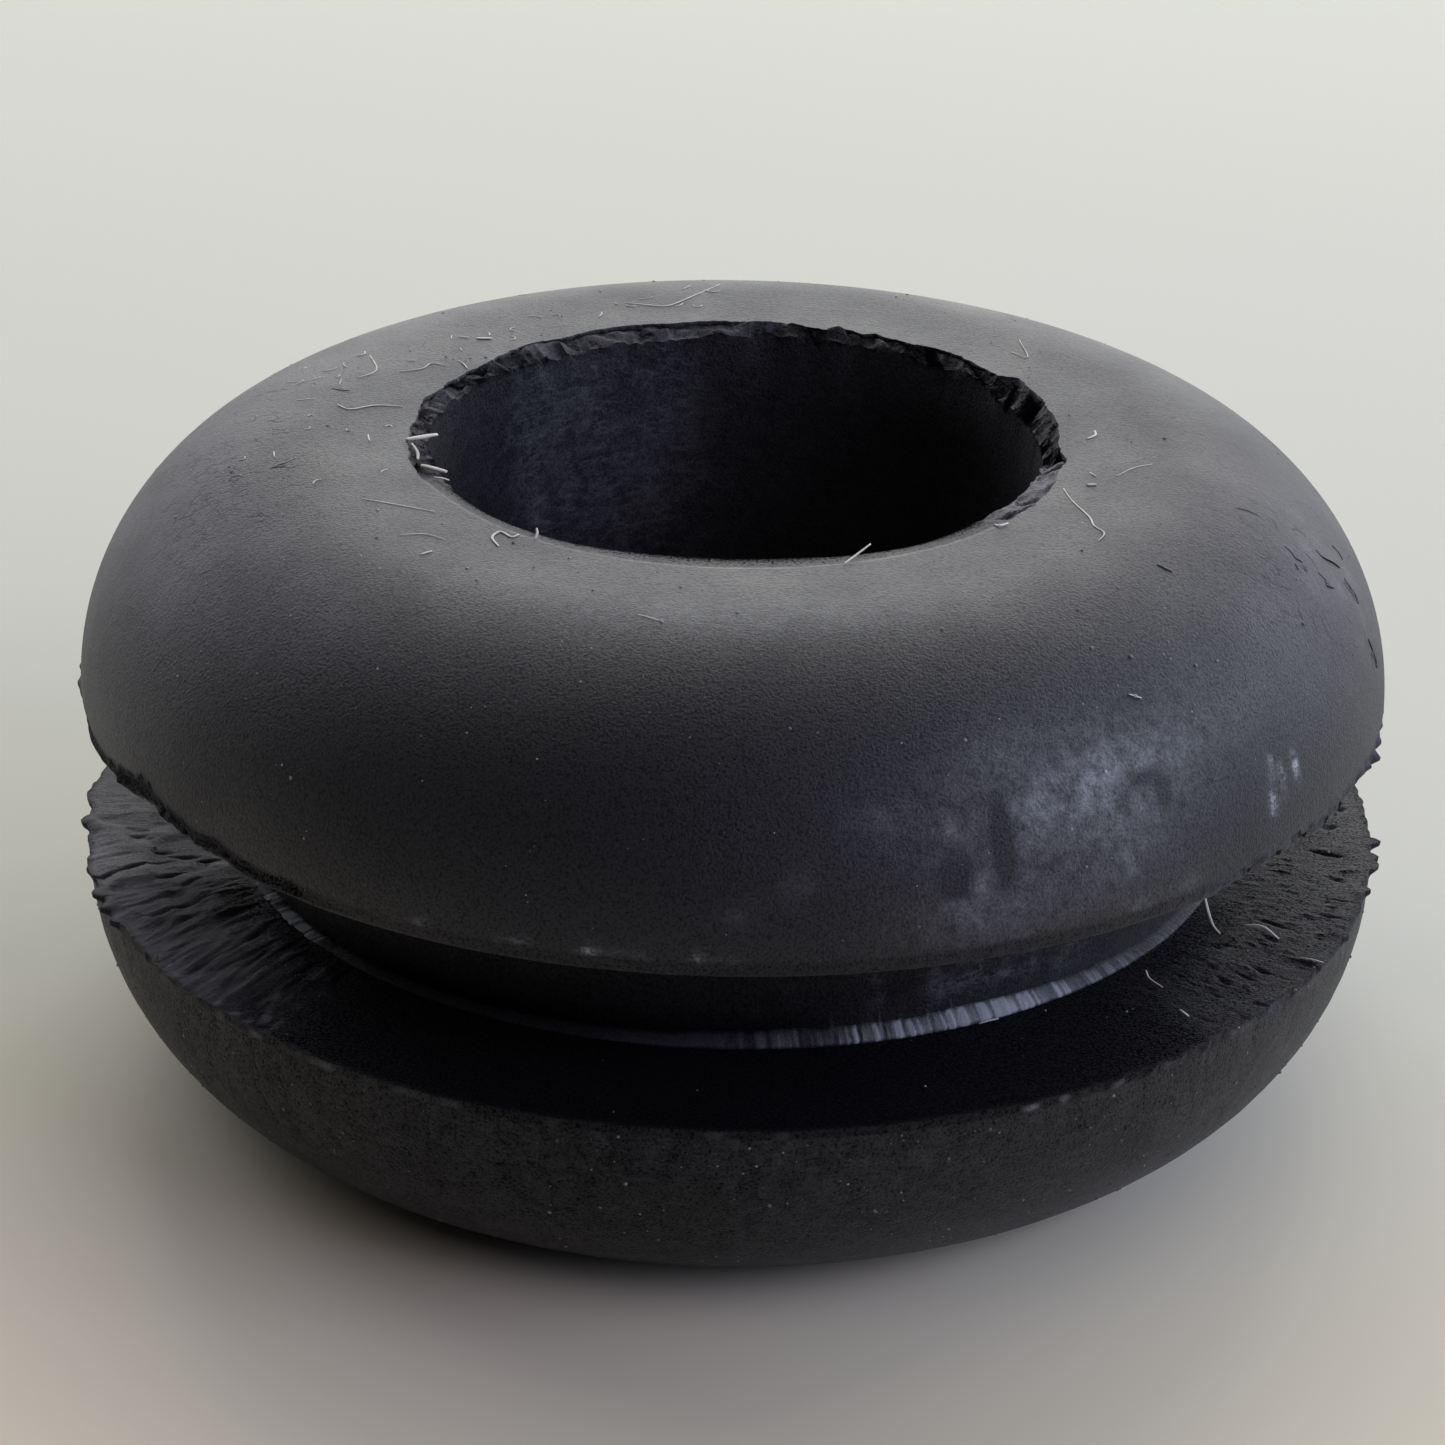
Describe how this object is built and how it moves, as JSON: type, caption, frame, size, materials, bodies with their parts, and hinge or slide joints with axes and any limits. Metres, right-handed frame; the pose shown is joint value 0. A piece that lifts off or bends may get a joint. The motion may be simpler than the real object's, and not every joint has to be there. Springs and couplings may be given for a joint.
{
  "type": "rubber grommet",
  "caption": "Round rubber grommet with two domed flanges, a groove for a panel's edge and a straight bore that a cable passes through.",
  "frame": {"origin": "centre of the lower flange's flat face, which is the face that the part rests on", "axes": "+Z along the bore's axis, up through the part; +X to the right and -Y towards the viewer"},
  "size_m": [0.0254, 0.025, 0.0126],
  "materials": {
    "black_rubber": "satin"
  },
  "bodies": {
    "root": {"grommet": "black_rubber"}
  },
  "joints": []
}
